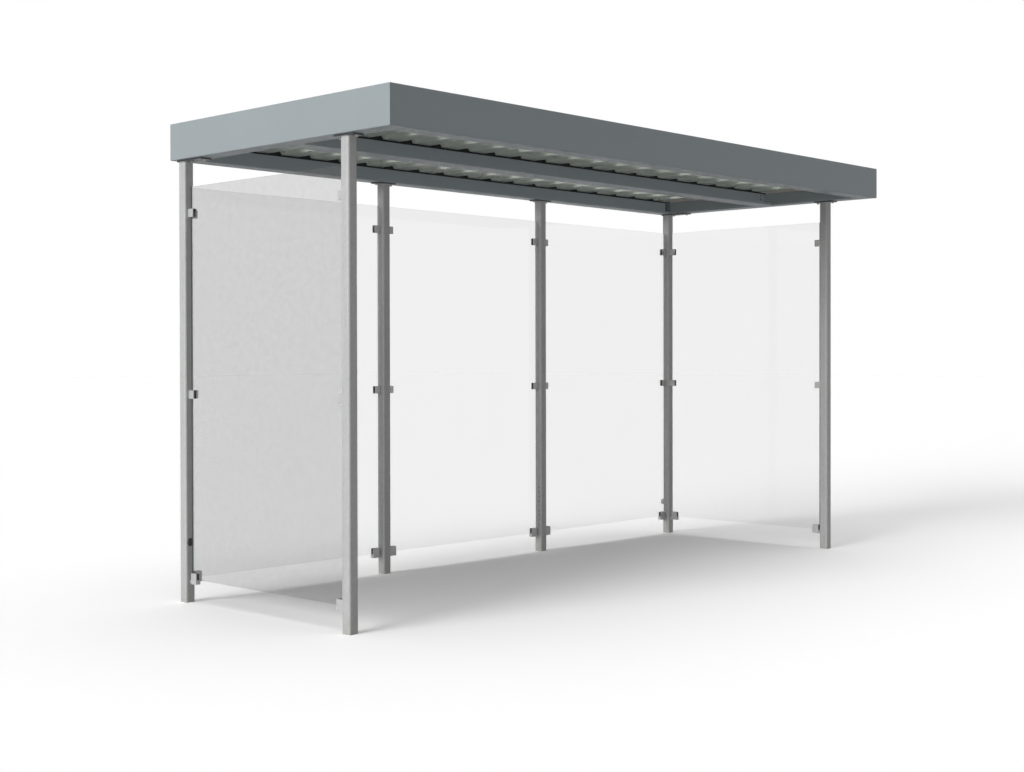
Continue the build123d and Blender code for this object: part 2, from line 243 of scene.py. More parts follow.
@dataclass(frozen=True)
class Galvanised:
    """Hot-dip galvanised steel gone dull: neutral grey, faint crystals, soft run marks down, painted shade
    inside and in tight corners.
    """

    name: str = "galvanised_steel"
    colour: str = "#B2B3B2"
    roughness: float = 0.5
    metallic: float = 0.05
    gloss: float = 0.2
    crystal: float = 14.0 * MM
    contrast: float = 0.05
    splash: str = "#A19C92"  # dirt that rain throws up the foot
    splash_height: float = 120.0 * MM
    run: float = 1.0 / 45  # run marks about 22 mm apart
    stretch: float = 0.06
    inside: str = "#3B3B39"  # painted shade: the dark colour that ambient occlusion lays inside the tube, seen through its holes, and in tight corners
    shade_reach: float = 80.0 * MM  # how far the ambient occlusion for the painted shade looks

    def material(self) -> Material:
        """Builds the material.

        Returns:
            The material.
        """
        material, add = new_material(self.name)
        place = add("ShaderNodeTexCoord").outputs["Object"]
        cells = add("ShaderNodeTexVoronoi", {"Vector": place, "Scale": 1 / self.crystal})
        tone = add("ShaderNodeSeparateColor", {0: cells.outputs["Color"]})
        down = add("ShaderNodeMapping", {"Vector": place, "Scale": (1.0, 1.0, self.stretch)})
        runs = add("ShaderNodeTexNoise", {"Vector": down, "Scale": 1 / self.run, "Detail": 3})
        low, high = 1 - self.contrast, 1 + self.contrast
        crystals = add("ShaderNodeMapRange", spread(tone, low, high, 0.0, 1.0))
        streaks = add("ShaderNodeMapRange", spread(runs, 0.96, 1.03))
        shade = add("ShaderNodeMath", {0: crystals, 1: streaks}, operation="MULTIPLY")
        base = add("ShaderNodeMix", {0: 1.0, 6: linear(self.colour), 7: shade}, **SHADE)
        height = add("ShaderNodeSeparateXYZ", {0: place}).outputs["Z"]
        foot = add("ShaderNodeMapRange", spread(height, 0.5, 0.0, 0.0, self.splash_height))
        wet = add("ShaderNodeMath", {0: foot, 1: runs}, operation="MULTIPLY")
        outside = add("ShaderNodeMix", {0: wet, 6: base, 7: linear(self.splash)}, **BLEND)
        # painted shade: ambient occlusion darkens the colour inside the tube and in tight corners by clamps
        # and plates
        air = add("ShaderNodeAmbientOcclusion", {"Distance": self.shade_reach}, samples=8).outputs["AO"]
        painted_inner_shade = add("ShaderNodeMapRange", spread(air, 0.9, 0.0, 0.15, 0.4))
        colour = add("ShaderNodeMix", {0: painted_inner_shade, 6: outside, 7: linear(self.inside)}, **BLEND)
        dull = spread(tone, self.roughness - 0.06, self.roughness + 0.06, 0.0, 1.0)
        rough = add("ShaderNodeMapRange", dull)
        bump = add("ShaderNodeBump", {"Height": runs, "Strength": 0.1, "Distance": 0.3 * MM})
        zinc = {"Base Color": colour, "Roughness": rough, "Normal": bump, "Metallic": self.metallic}
        shader = add("ShaderNodeBsdfPrincipled", zinc | {"Specular IOR Level": self.gloss})
        add("ShaderNodeOutputMaterial", {"Surface": shader})
        return material


@dataclass(frozen=True)
class SolidCoat:
    """A plain finish with a fine grain and faint broad clouds, for small metal, rubber, foam or sealant."""

    name: str
    colour: str
    roughness: float
    metallic: float = 0.0
    grain: float = 2.5 * MM
    cloud: float = 0.06  # the clouds' scale against the grain's
    contrast: float = 0.04
    relief: float = 0.1 * MM

    def material(self) -> Material:
        """Builds the material.

        Returns:
            The material.
        """
        material, add = new_material(self.name)
        place = add("ShaderNodeTexCoord").outputs["Object"]
        grain = add("ShaderNodeTexNoise", {"Vector": place, "Scale": 1 / self.grain, "Detail": 2})
        broad = self.cloud / self.grain
        cloud = add("ShaderNodeTexNoise", {"Vector": place, "Scale": broad, "Detail": 3})
        low, high = 1 - self.contrast, 1 + self.contrast
        fine = add("ShaderNodeMapRange", spread(grain, low, high))
        soft = add("ShaderNodeMapRange", spread(cloud, low, high))
        shade = add("ShaderNodeMath", {0: fine, 1: soft}, operation="MULTIPLY")
        colour = add("ShaderNodeMix", {0: 1.0, 6: linear(self.colour), 7: shade}, **SHADE)
        rough = add("ShaderNodeMapRange", spread(cloud, self.roughness - 0.05, self.roughness + 0.05))
        bump = add("ShaderNodeBump", {"Height": grain, "Strength": 0.3, "Distance": self.relief})
        coat = {"Base Color": colour, "Roughness": rough, "Normal": bump, "Metallic": self.metallic}
        shader = add("ShaderNodeBsdfPrincipled", coat)
        add("ShaderNodeOutputMaterial", {"Surface": shader})
        return material


@dataclass(frozen=True)
class ToughenedGlass:
    """Toughened float glass, 8 mm: clear with a grey cast, and a dark green-grey ground edge; a copy can be
    painted darker and mottled, as painted shade.
    """

    name: str
    tint: str
    edge: str = "#5A6862"
    mottle_shade: float = 0.0
    reflection: float = 0.3  # of what bare glass reflects
    passing: float = 0.5  # share of the light that each of the two faces lets through
    flat_along: str = "Y"
    mottle: float = 1.0 / 26  # spots of the painted shade, about 38 mm apart

    def material(self) -> Material:
        """Builds the material.

        Returns:
            The material.
        """
        material, add = new_material(self.name)
        place = add("ShaderNodeTexCoord").outputs["Object"]
        normal = add("ShaderNodeNewGeometry").outputs["Normal"]
        across = add("ShaderNodeSeparateXYZ", {0: normal}).outputs[self.flat_along]
        size = add("ShaderNodeMath", {0: across}, operation="ABSOLUTE")
        rim = add("ShaderNodeMapRange", spread(size, 1.0, 0.0, 0.2, 0.9))
        mottle = add("ShaderNodeTexNoise", {"Vector": place, "Scale": 1 / self.mottle, "Detail": 3})
        # painted shade: a faint darker mottle over the pane's colour
        shade = add("ShaderNodeMapRange", spread(mottle, 1 - self.mottle_shade, 1.0))
        colour = add("ShaderNodeMix", {0: 1.0, 6: linear(self.tint), 7: shade}, **SHADE)
        ground = add("ShaderNodeBsdfPrincipled", {"Base Color": linear(self.edge), "Roughness": 0.4})
        face = {"Base Color": colour, "Roughness": 0.0, "IOR": 1.5, "Transmission Weight": 1.0}
        face["Specular Tint"] = (self.reflection,) * 3 + (1.0,)
        pane = add("ShaderNodeBsdfPrincipled", face)
        path = add("ShaderNodeLightPath").outputs
        shadow, diffuse = path["Is Shadow Ray"], path["Is Diffuse Ray"]
        light = add("ShaderNodeMath", {0: shadow, 1: diffuse}, operation="MAXIMUM")
        passed = add("ShaderNodeBsdfTransparent", {"Color": (self.passing,) * 3 + (1.0,)})
        solid = add("ShaderNodeMixShader", {0: rim, 1: pane, 2: ground})
        shader = add("ShaderNodeMixShader", {0: light, 1: solid, 2: passed})
        add("ShaderNodeOutputMaterial", {"Surface": shader})
        return material


class Finish(Enum):
    """The finishes of the shelter's pieces."""

    PAINT = PowderCoat()
    PIPE = PowderCoat("dark_drain_coating", "#5D6467")
    SHEET = CoilCoat()
    TUBE = Galvanised()
    # dull zinc over a rough bead
    WELD = SolidCoat("galvanised_weld_bead", "#A3A4A3", 0.5, metallic=0.3, grain=3.0 * MM, relief=0.6 * MM)
    PLATE = SolidCoat("dark_plate_paint", "#47494B", 0.5)  # even and dark, half matt
    # tumbled casting: a soft even sheen
    CLAMP = SolidCoat("satin_die_cast_zinc", "#B4B5B4", 0.4, metallic=0.3, grain=1.5 * MM)
    # electroplated: the brightest metal here, a little warm
    ZINC = SolidCoat("zinc_plated_steel", "#A9A9A4", 0.35, metallic=0.7, grain=1.5 * MM)
    RUBBER = SolidCoat("black_rubber_profile", "#232426", 0.7, contrast=0.08)  # extruded, nearly black
    LIGHTER_SIDE_RUBBER = SolidCoat("painted_light_rubber_profile", "#4B4C4D", 0.7, contrast=0.08)  # the black rubber painted lighter grey for the side walls: painted light
    # painted shade: black foam set in the rib voids and along the sheet's edges, where there is only shade
    SHADE_FILLER = SolidCoat("black_painted_shade_filler", "#151617", 0.9, grain=4.0 * MM, contrast=0.1)
    SEAL = SolidCoat("grey_joint_sealant", "#8C9294", 0.6)  # smoothed by hand, dull
    # pale closed foam tape, matt
    FOAM = SolidCoat("beige_foam_strip", "#C9BDB5", 0.8, grain=4.0 * MM, contrast=0.05)
    CLEAR = ToughenedGlass("clear_toughened_glass_rear", "#F0F0F0")
    CLEAR_SIDE = ToughenedGlass("clear_toughened_glass_side", "#F0F0F0", flat_along="X")
    # painted shade: the left pane, the side glass painted darker and mottled
    SHADED_SIDE = ToughenedGlass("shaded_toughened_glass_side", "#DBDBDB", mottle_shade=0.04, flat_along="X")

    @cached_property
    def material(self) -> Material:
        """The finish's material, built at its first use."""
        return self.value.material()


def deselect_all() -> None:
    """Leaves edit mode and deselects every object."""
    if bpy.context.object and bpy.context.object.mode != "OBJECT":
        bpy.ops.object.mode_set(mode="OBJECT")
    bpy.ops.object.select_all(action="DESELECT")


def pointing(axis: int, way: int = 0) -> Callable[[Vector, Vector], bool]:
    """A rule for choose: points along an axis, forwards for 1, backwards for -1 or either way for 0."""
    return lambda _, normal: (normal[axis] * way if way else abs(normal[axis])) > NEARLY


def choose(piece: Object, rule: Callable[[Vector, Vector], bool], edges: bool = False) -> None:
    """Selects, in edit mode, the faces or edges that a rule accepts.

    Args:
        piece: the object in edit mode.
        rule: takes a face's centre and normal, or an edge's middle and direction, and says whether it is
            chosen.
        edges: whether edges are chosen instead of faces.
    """
    mesh = bmesh.from_edit_mesh(piece.data)
    for item in (*mesh.verts, *mesh.edges, *mesh.faces):
        item.select = False
    bpy.context.tool_settings.mesh_select_mode = (False, edges, not edges)
    if edges:
        for edge in mesh.edges:
            first, second = edge.verts[0].co, edge.verts[1].co
            if rule((first + second) / 2, (second - first).normalized()):
                edge.select_set(True)
    else:
        for face in mesh.faces:
            if rule(face.calc_center_median(), face.normal):
                face.select_set(True)
    bmesh.update_edit_mesh(piece.data)


def open_mesh(selected: bool = False) -> Object:
    """Settles the primitive that was just added and enters edit mode.

    Args:
        selected: whether all of it is selected, or nothing.

    Returns:
        The new object, in edit mode.
    """
    bpy.ops.object.transform_apply()
    bpy.ops.object.mode_set(mode="EDIT")
    bpy.ops.mesh.select_all(action="SELECT" if selected else "DESELECT")
    return bpy.context.object


def close_mesh() -> None:
    """Merges the doubles of a spun piece, turns its faces outwards and leaves edit mode."""
    bpy.ops.mesh.select_all(action="SELECT")
    bpy.ops.mesh.remove_doubles(threshold=0.05 * MM)
    bpy.ops.mesh.normals_make_consistent(inside=False)
    bpy.ops.object.mode_set(mode="OBJECT")


def start_round(radius: float, depth: float, middle: float, sides: int) -> Object:
    """Starts a round or many-sided piece on the Z axis and enters edit mode.

    Args:
        radius: the radius to its corners.
        depth: its length along Z.
        middle: the height of its middle.
        sides: its number of sides.

    Returns:
        The new object, in edit mode with nothing selected.
    """
    deselect_all()
    bpy.ops.mesh.primitive_cylinder_add(vertices=sides, radius=radius, depth=depth, location=(0, 0, middle))
    return open_mesh()


def start_block(size: Iterable[float], middle: Iterable[float]) -> Object:
    """Starts a block and enters edit mode.

    Args:
        size: its three sides.
        middle: its middle.

    Returns:
        The new object, in edit mode with nothing selected.
    """
    deselect_all()
    bpy.ops.mesh.primitive_cube_add(size=1.0, location=tuple(middle), scale=tuple(size))
    return open_mesh()


def rounded_block(size: Iterable[float], middle: Iterable[float], along: int, width: float) -> Object:
    """Makes a block whose four edges along one axis are rounded off.

    Args:
        size: its three sides.
        middle: its middle.
        along: the axis, X, Y or Z.
        width: how far the rounding reaches.

    Returns:
        The block, in object mode.
    """
    piece = start_block(size, middle)
    choose(piece, pointing(along), edges=True)
    bpy.ops.mesh.bevel(offset=width, segments=2)
    bpy.ops.object.mode_set(mode="OBJECT")
    return piece


def joined(parts: list[Object], name: str) -> Object:
    """Joins objects into one.

    Args:
        parts: the objects; the first one stays.
        name: the joined object's name.

    Returns:
        The joined object.
    """
    deselect_all()
    for part in parts:
        part.select_set(True)
    bpy.context.view_layer.objects.active = parts[0]
    if len(parts) > 1:
        bpy.ops.object.join()
    parts[0].name = parts[0].data.name = name
    return parts[0]


def placed_copies(model: Object, places: Iterable[Matrix]) -> list[Object]:
    """Copies a model to several places, each copy with its own mesh, and removes the model.

    Args:
        model: the object to copy, at the origin.
        places: the transform of each copy.

    Returns:
        The copies, with their places in their meshes.
    """
    copies = []
    for place in places:
        copy = model.copy()
        copy.data = model.data.copy()
        bpy.context.scene.collection.objects.link(copy)
        copy.data.transform(place)
        copies.append(copy)
    bpy.data.objects.remove(model)
    return copies


def finish_piece(piece: Object, finish: Finish) -> None:
    """Smooths a new piece, gives it its finish and fixes it to the shelter.

    Args:
        piece: the object.
        finish: its finish.
    """
    deselect_all()
    piece.select_set(True)
    bpy.context.view_layer.objects.active = piece
    bpy.ops.object.shade_smooth_by_angle(angle=math.radians(SMOOTH_ANGLE))
    piece.data.materials.clear()
    piece.data.materials.append(finish.material)
    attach(piece, "root")


@dataclass
class ShelterPlan:
    """Where the shelter's posts and joints are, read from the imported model's boxes."""

    nodes: dict[str, Object]
    corners: tuple[str, ...] = (
        *("rear_left", "rear_mid_left", "rear_mid_right", "rear_right"),
        *("front_left", "front_right"),
    )
    bolt_offset: float = 59 * MM
    long_step: float = 119 * MM

    def post_centre(self, name: str) -> Vector:
        """The middle of a post in plan, with Z at the post's top."""
        low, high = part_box(f"post_{name}")
        return Vector(((low.x + high.x) / 2, (low.y + high.y) / 2, high.z))

    def bolts(self, name: str) -> list[Vector]:
        """The plan places of a head plate's bolts, with Z at the plate's underside.

        Args:
            name: the post's name.

        Returns:
            One point for each bolt.
        """
        centre = self.post_centre(name)
        if "mid" in name:
            steps = [(-self.bolt_offset, 0), (self.bolt_offset, 0)]
        elif centre.y > 0:
            steps = [(0, -self.bolt_offset), (0, -self.bolt_offset - self.long_step)]
        else:
            steps = [(0, -self.bolt_offset), (0, self.bolt_offset)]
        return [centre + Vector((dx, dy, 0)) for dx, dy in steps]

    def dress(self, prefix: str, finish: Finish) -> int:
        """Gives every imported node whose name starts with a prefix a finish.

        Args:
            prefix: the start of the nodes' names.
            finish: their finish.

        Returns:
            How many nodes got it.
        """
        found = [node for name, node in self.nodes.items() if name.startswith(prefix)]
        for node in found:
            node.data.materials.clear()
            node.data.materials.append(finish.material)
        return len(found)


@dataclass
class HexBolt:
    """An M10 bolt with its head down, two washers and a nut, around the joint that it holds."""

    across_flats: float = 16.0 * MM
    head: float = 6.4 * MM
    washer_radius: float = 10.0 * MM
    washer: float = 2.0 * MM
    shank_radius: float = 5.0 * MM
    grip: float = 11.0 * MM
    nut: float = 8.0 * MM
    thread_end: float = 4.0 * MM
    chamfer: float = 0.9 * MM
    washer_edge: float = 0.3 * MM
    shank_edge: float = 0.8 * MM

    def six_sided(self, low: float, height: float, face_up: bool) -> Object:
        """A head or a nut with one chamfered end.

        Args:
            low: the height of its underside.
            height: its height.
            face_up: whether the upper end is the chamfered one.

        Returns:
            The object, in object mode.
        """
        piece = start_round(self.across_flats / math.sqrt(3), height, low + height / 2, sides=6)
        way = 1 if face_up else -1
        choose(piece, pointing(Z, way))
        bpy.ops.mesh.inset(thickness=self.chamfer)
        bpy.ops.transform.translate(value=(0, 0, way * self.chamfer / 2))
        bpy.ops.mesh.inset(thickness=self.chamfer * 2)
        bpy.ops.transform.translate(value=(0, 0, -way * self.chamfer / 4))
        bpy.ops.object.mode_set(mode="OBJECT")
        return piece

    def disc(self, radius: float, low: float, height: float, bevel: float) -> Object:
        """A washer or a length of shank with softened rims.

        Args:
            radius: its radius.
            low: the height of its underside.
            height: its height.
            bevel: the width of the softened rims.

        Returns:
            The object, in object mode.
        """
        piece = start_round(radius, height, low + height / 2, sides=20)
        choose(piece, lambda _, way: abs(way.z) < NEARLY, edges=True)
        bpy.ops.mesh.bevel(offset=bevel)
        bpy.ops.object.mode_set(mode="OBJECT")
        return piece

    def build(self) -> Object:
        """The whole bolt, with the joint's underside at the origin.

        Returns:
            The bolt.
        """
        under = -self.washer - self.head
        over = self.grip + self.washer
        length = over + self.nut + self.thread_end - under - self.head / 2
        parts = [
            self.six_sided(under, self.head, False),
            self.disc(self.washer_radius, -self.washer, self.washer, self.washer_edge),
            self.disc(self.shank_radius, under + self.head / 2, length, self.shank_edge),
            self.disc(self.washer_radius, self.grip, self.washer, self.washer_edge),
            self.six_sided(over, self.nut, True),
        ]
        return joined(parts, "bolt_model")


@dataclass
class Posts:
    """The square tube posts: their finish and the weld bead under each head plate."""

    plan: ShelterPlan
    side: float = 60.0 * MM
    corner: float = 12.0 * MM
    bead: float = 5.0 * MM
    toe: float = 0.5 * MM
    lip: float = 1.5 * MM
    off_centre: float = 1.0 * MM  # within this of the axis, a face is an end face

    def weld(self, name: str) -> Object:
        """The fillet weld round the top of one post.

        Args:
            name: the post's name.

        Returns:
            The bead.
        """
        top = self.plan.post_centre(name)
        wide = self.side + 2 * self.bead
        piece = start_block((wide, wide, self.bead), (0, 0, -self.bead / 2))
        choose(piece, pointing(Z), edges=True)
        bpy.ops.mesh.bevel(offset=self.corner + self.bead, segments=6)
        choose(piece, pointing(Z, -1))
        shrink = self.side / wide
        bpy.ops.transform.resize(value=(shrink, shrink, 1.0))
        bpy.ops.mesh.bevel(offset=self.toe)
        choose(piece, pointing(Z))
        bpy.ops.mesh.inset(thickness=self.lip)
        reach = self.off_centre
        choose(piece, lambda centre, normal: abs(normal.z) > NEARLY and centre.xy.length < reach)
        bpy.ops.mesh.bridge_edge_loops()
        bpy.ops.object.mode_set(mode="OBJECT")
        piece.data.transform(Matrix.Translation(top))
        piece.name = piece.data.name = f"weld_{name}"
        return piece

    def build(self) -> None:
        """Dresses the posts and adds their welds."""
        count = self.plan.dress("post_", Finish.TUBE)
        for name in self.plan.corners:
            finish_piece(self.weld(name), Finish.WELD)
        LOG.info("posts: %d nodes dressed, %d welds", count, len(self.plan.corners))


@dataclass
class HeadPlates:
    """The plates between posts and roof frame, with the bolts that hold them."""

    plan: ShelterPlan
    bolt: HexBolt

    def build(self) -> None:
        """Dresses the plates and adds their bolts."""
        self.plan.dress("head_plate_", Finish.PLATE)
        for name in self.plan.corners:
            spots = [Matrix.Translation(point) for point in self.plan.bolts(name)]
            made = joined(placed_copies(self.bolt.build(), spots), f"bolts_{name}")
            finish_piece(made, Finish.ZINC)
        LOG.info("head plates: bolts under %d plates", len(self.plan.corners))


@dataclass
class SheetScrews:
    """Self-drilling screws that hold the roof sheet to its ledges and to the centre beam."""

    washer_radius: float = 8.0 * MM
    washer: float = 2.4 * MM
    across_flats: float = 8.0 * MM
    head: float = 5.0 * MM
    shank_radius: float = 2.6 * MM
    shank: float = 5.0 * MM
    point: float = 2.0 * MM
    tip: float = 0.1  # the point's width against the shank's
    seal_steps: tuple[float, float] = (1.5 * MM, 1.0 * MM)
    seal_rise: float = 0.6 * MM
    head_step: float = 0.6 * MM
    head_rise: float = 0.4 * MM

    def model(self) -> Object:
        """One screw with its sealing washer, head up, its washer's underside at the origin.

        Returns:
            The screw.
        """
        seal = start_round(self.washer_radius, self.washer, self.washer / 2, sides=16)
        choose(seal, pointing(Z, 1))
        bpy.ops.mesh.inset(thickness=self.seal_steps[0])
        bpy.ops.transform.translate(value=(0, 0, self.seal_rise))
        bpy.ops.mesh.inset(thickness=self.seal_steps[1])
        bpy.ops.object.mode_set(mode="OBJECT")
        middle = self.washer + self.head / 2
        head = start_round(self.across_flats / math.sqrt(3), self.head, middle, sides=6)
        choose(head, pointing(Z, 1))
        bpy.ops.mesh.inset(thickness=self.head_step)
        bpy.ops.transform.translate(value=(0, 0, self.head_rise))
        bpy.ops.object.mode_set(mode="OBJECT")
        shank = start_round(self.shank_radius, self.shank, -self.shank / 2, sides=8)
        choose(shank, pointing(Z, -1))
        bpy.ops.mesh.extrude_region_move(TRANSFORM_OT_translate={"value": (0, 0, -self.point)})
        bpy.ops.transform.resize(value=(self.tip, self.tip, 1.0))
        bpy.ops.object.mode_set(mode="OBJECT")
        return joined([seal, head, shank], "screw_model")


@dataclass
class RoofSheet:
    """The ribbed roof sheet: its finish, its screws and the laps between its lengths."""

    plan: ShelterPlan
    screws: SheetScrews
    pitch: float = 219.0 * MM
    foot: float = 104.0 * MM
    crest: float = 44.0 * MM
    rib: float = 38.0 * MM
    thickness: float = 1.0 * MM
    ribs_each_side: int = 9
    level: float = 2520.0 * MM
    beam_line: float = -2.0 * MM
    top_flange: float = 40.0 * MM
    ledge_leg: float = 30.0 * MM
    ledge_inset: float = 18.0 * MM
    gap: float = 2.0 * MM
    lap_every: int = 5
    lap_tail: float = 18.0 * MM
    lip: float = 10.0 * MM
    lip_width: float = 3.6 * MM
    lip_ends: float = 30.0 * MM
    lip_corner: float = 1.2 * MM
    strip_width: float = 90.0 * MM
    strip_thickness: float = 2.0 * MM
    strip_margin: float = 1.0 * MM
    strip_gaps: tuple[float, float] = (4.0 * MM, 3.0 * MM)
    strip_corner: float = 3.0 * MM
    filler_depth: float = 26.0 * MM
    filler_play: float = 3.0 * MM
    filler_edge: float = 2.0 * MM

    def screw_places(self) -> list[Matrix]:
        """The places of all screws: three lines across, one in each pan.

        Returns:
            One transform for each screw.
        """
        low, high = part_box("roof_sheet")
        lines = [low.y + self.ledge_inset, self.beam_line, high.y - self.ledge_inset]
        top = self.level + self.thickness
        steps = [k + 0.5 for k in range(-self.ribs_each_side, self.ribs_each_side)]
        return [Matrix.Translation((step * self.pitch, y, top)) for step in steps for y in lines]

    def ledge_line(self) -> float:
        """How far from the middle the strips along the ledges' inner edges are."""
        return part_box("sheet_ledges")[1].y - self.ledge_leg - self.gap

    def lap(self, rib: int) -> Object:
        """The edge of one sheet length that lies over the next one, on one side of a rib.

        Args:
            rib: the rib's number, counted from the middle.

        Returns:
            The overlapping strip.
        """
        low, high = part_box("roof_sheet")
        x = rib * self.pitch
        line = [
            (x - self.crest / 2, self.rib),
            (x + self.crest / 2, self.rib),
            (x + self.foot / 2, 0.0),
            (x + self.foot / 2 + self.lap_tail, 0.0),
        ]
        lift = self.level + self.thickness
        length = high.y - low.y - self.gap
        deselect_all()
        bpy.ops.mesh.primitive_plane_add(size=1.0, location=(0, 0, 0))
        piece = bpy.context.object
        bpy.ops.object.mode_set(mode="EDIT")
        bpy.ops.mesh.select_all(action="SELECT")
        bpy.ops.mesh.subdivide(number_cuts=2)
        mesh = bmesh.from_edit_mesh(piece.data)
        for vert in mesh.verts:
            step = round((vert.co.x + 0.5) * 3)
            px, pz = line[step]
            vert.co = Vector((px, vert.co.y * length, pz + lift))
        bmesh.update_edit_mesh(piece.data)
        bpy.ops.mesh.normals_make_consistent(inside=False)
        bpy.ops.object.mode_set(mode="OBJECT")
        thick = piece.modifiers.new("sheet", "SOLIDIFY")
        thick.thickness = self.thickness
        thick.offset = 1.0
        bpy.ops.object.modifier_apply(modifier="sheet")
        side = "left" if rib < 0 else "right" if rib > 0 else "middle"
        piece.name = piece.data.name = f"sheet_lap_{side}"
        return piece

    def end_strips(self) -> Object:
        """Flat foam strips under the sheet's two ends, in front of the centre beam and behind it.

        Returns:
            The strips, as one object.
        """
        low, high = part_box("roof_sheet")
        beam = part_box("centre_beam")[1].y
        ledge = self.ledge_line()
        inset = self.strip_width / 2 + self.strip_margin
        before, behind = self.strip_gaps
        spans = ((-ledge, beam - self.top_flange - before), (beam + behind, ledge))
        parts = []
        for x in (low.x + inset, high.x - inset):
            for near, far in spans:
                size = (self.strip_width, far - near, self.strip_thickness)
                middle = (x, (near + far) / 2, self.level - self.strip_thickness / 2)
                parts.append(rounded_block(size, middle, Z, self.strip_corner))
        return joined(parts, "end_strips")

    def fillers(self) -> Object:
        """Black foam fillers that close the ribs over the centre beam and over the two ledges, as painted
        shade in the rib voids.

        Returns:
            The fillers, as one object.
        """
        low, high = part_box("roof_sheet")
        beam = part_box("centre_beam")[1].y
        first, last = low.y + self.gap, high.y - self.gap
        spans = [
            (first, first + self.filler_depth),
            (beam - self.top_flange, beam),
            (last - self.filler_depth, last),
        ]
        foot, crest = self.foot - self.filler_play, self.crest - self.filler_play
        tall = self.rib - self.thickness
        parts = []
        for near, far in spans:
            block = start_block((foot, far - near, tall), (0, (near + far) / 2, self.level + tall / 2))
            choose(block, pointing(Z, 1))
            bpy.ops.transform.resize(value=(crest / foot, 1.0, 1.0))
            choose(block, pointing(Y), edges=True)
            bpy.ops.mesh.bevel(offset=self.filler_edge)
            bpy.ops.object.mode_set(mode="OBJECT")
            steps = range(-self.ribs_each_side, self.ribs_each_side + 1)
            parts += placed_copies(block, [Matrix.Translation((k * self.pitch, 0, 0)) for k in steps])
        return joined(parts, "rib_shade_fillers")

    def shade_edge_strips(self) -> Object:
        """Black rubber edge strips under the sheet, along the centre beam's top flange and the ledges:
        painted shade, a dark line where the sheet meets its supports.

        Returns:
            The strips, as one object.
        """
        low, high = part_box("roof_sheet")
        ledge = self.ledge_line()
        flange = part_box("centre_beam")[1].y - self.top_flange - self.gap
        size = (high.x - low.x - 2 * self.lip_ends, self.lip_width, self.lip)
        lines = (flange, ledge, -ledge)
        spots = [(0, y, self.level - self.lip / 2) for y in lines]
        parts = [rounded_block(size, spot, X, self.lip_corner) for spot in spots]
        return joined(parts, "shade_edge_strips")

    def build(self) -> None:
        """Dresses the sheet and adds its screws, laps, strips, and the black fillers and edge strips of
        painted shade.
        """
        self.plan.dress("roof_sheet", Finish.SHEET)
        places = self.screw_places()
        screws = joined(placed_copies(self.screws.model(), places), "sheet_screws")
        finish_piece(screws, Finish.ZINC)
        for rib in (-self.lap_every, 0, self.lap_every):
            finish_piece(self.lap(rib), Finish.SHEET)
        finish_piece(self.end_strips(), Finish.FOAM)
        finish_piece(self.fillers(), Finish.SHADE_FILLER)
        finish_piece(self.shade_edge_strips(), Finish.SHADE_FILLER)
        LOG.info("roof sheet: %d screws, laps, strips and fillers", len(places))


@dataclass
class RoofFrame:
    """The fascia, the centre beam and their small joints."""

    plan: ShelterPlan
    flange: float = 110.0 * MM
    fascia: float = 3.0 * MM
    web: float = 4.0 * MM
    clear: float = 2420.0 * MM
    bead: tuple[float, float] = (4.0 * MM, 1.2 * MM)
    bead_start: float = 6.0 * MM
    bead_end: float = 10.0 * MM
    bead_corner: float = 0.5 * MM
    cleat_bolt_out: float = 38.0 * MM
    cleat_bolt_rise: float = 15.0 * MM

    def cleat_bolts(self) -> Object:
        """Two small bolts through each leg of the centre beam's end cleats.

        Returns:
            The bolts, as one object.
        """
        model = HexBolt(
            across_flats=13 * MM,
            head=5.3 * MM,
            washer_radius=8 * MM,
            washer=1.6 * MM,
            shank_radius=4 * MM,
            grip=9 * MM,
            nut=6.5 * MM,
            thread_end=3 * MM,
        ).build()
        low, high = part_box("beam_cleats")
        middle = (low.z + high.z) / 2
        places = []
        for x in (low.x + self.cleat_bolt_out, high.x - self.cleat_bolt_out):
            for rise in (-self.cleat_bolt_rise, self.cleat_bolt_rise):
                spot = Vector((x, low.y - self.web, middle + rise))
                places.append(Matrix.Translation(spot) @ Axis.BACK.value)
        return joined(placed_copies(model, places), "cleat_bolts")

    def corner_seals(self) -> Object:
        """Thin beads of sealant along the mitres of the bottom flanges, at the four corners.

        Returns:
            The beads, as one object.
        """
        parts = []
        low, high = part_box("fascia_front")
        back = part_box("fascia_rear")[1].y
        reach = (self.flange - self.bead_end) * math.sqrt(2)
        for x, way_x in ((low.x, 1), (high.x, -1)):
            for y, way_y in ((low.y, 1), (back, -1)):
                middle = (reach / 2 + self.bead_start, 0, 0)
                bead = rounded_block((reach, *self.bead), middle, X, self.bead_corner)
                turn = Matrix.Rotation(math.atan2(way_y, way_x), 4, "Z")
                bead.data.transform(Matrix.Translation((x, y, self.clear + self.fascia)) @ turn)
                parts.append(bead)
        return joined(parts, "corner_seals")

    def build(self) -> None:
        """Dresses the frame and adds its cleat bolts and seals."""
        for prefix in ("fascia_", "centre_beam", "beam_cleats", "sheet_ledges"):
            self.plan.dress(prefix, Finish.PAINT)
        finish_piece(self.cleat_bolts(), Finish.ZINC)
        finish_piece(self.corner_seals(), Finish.SEAL)
        LOG.info("roof frame: dressed, with cleat bolts and corner seals")


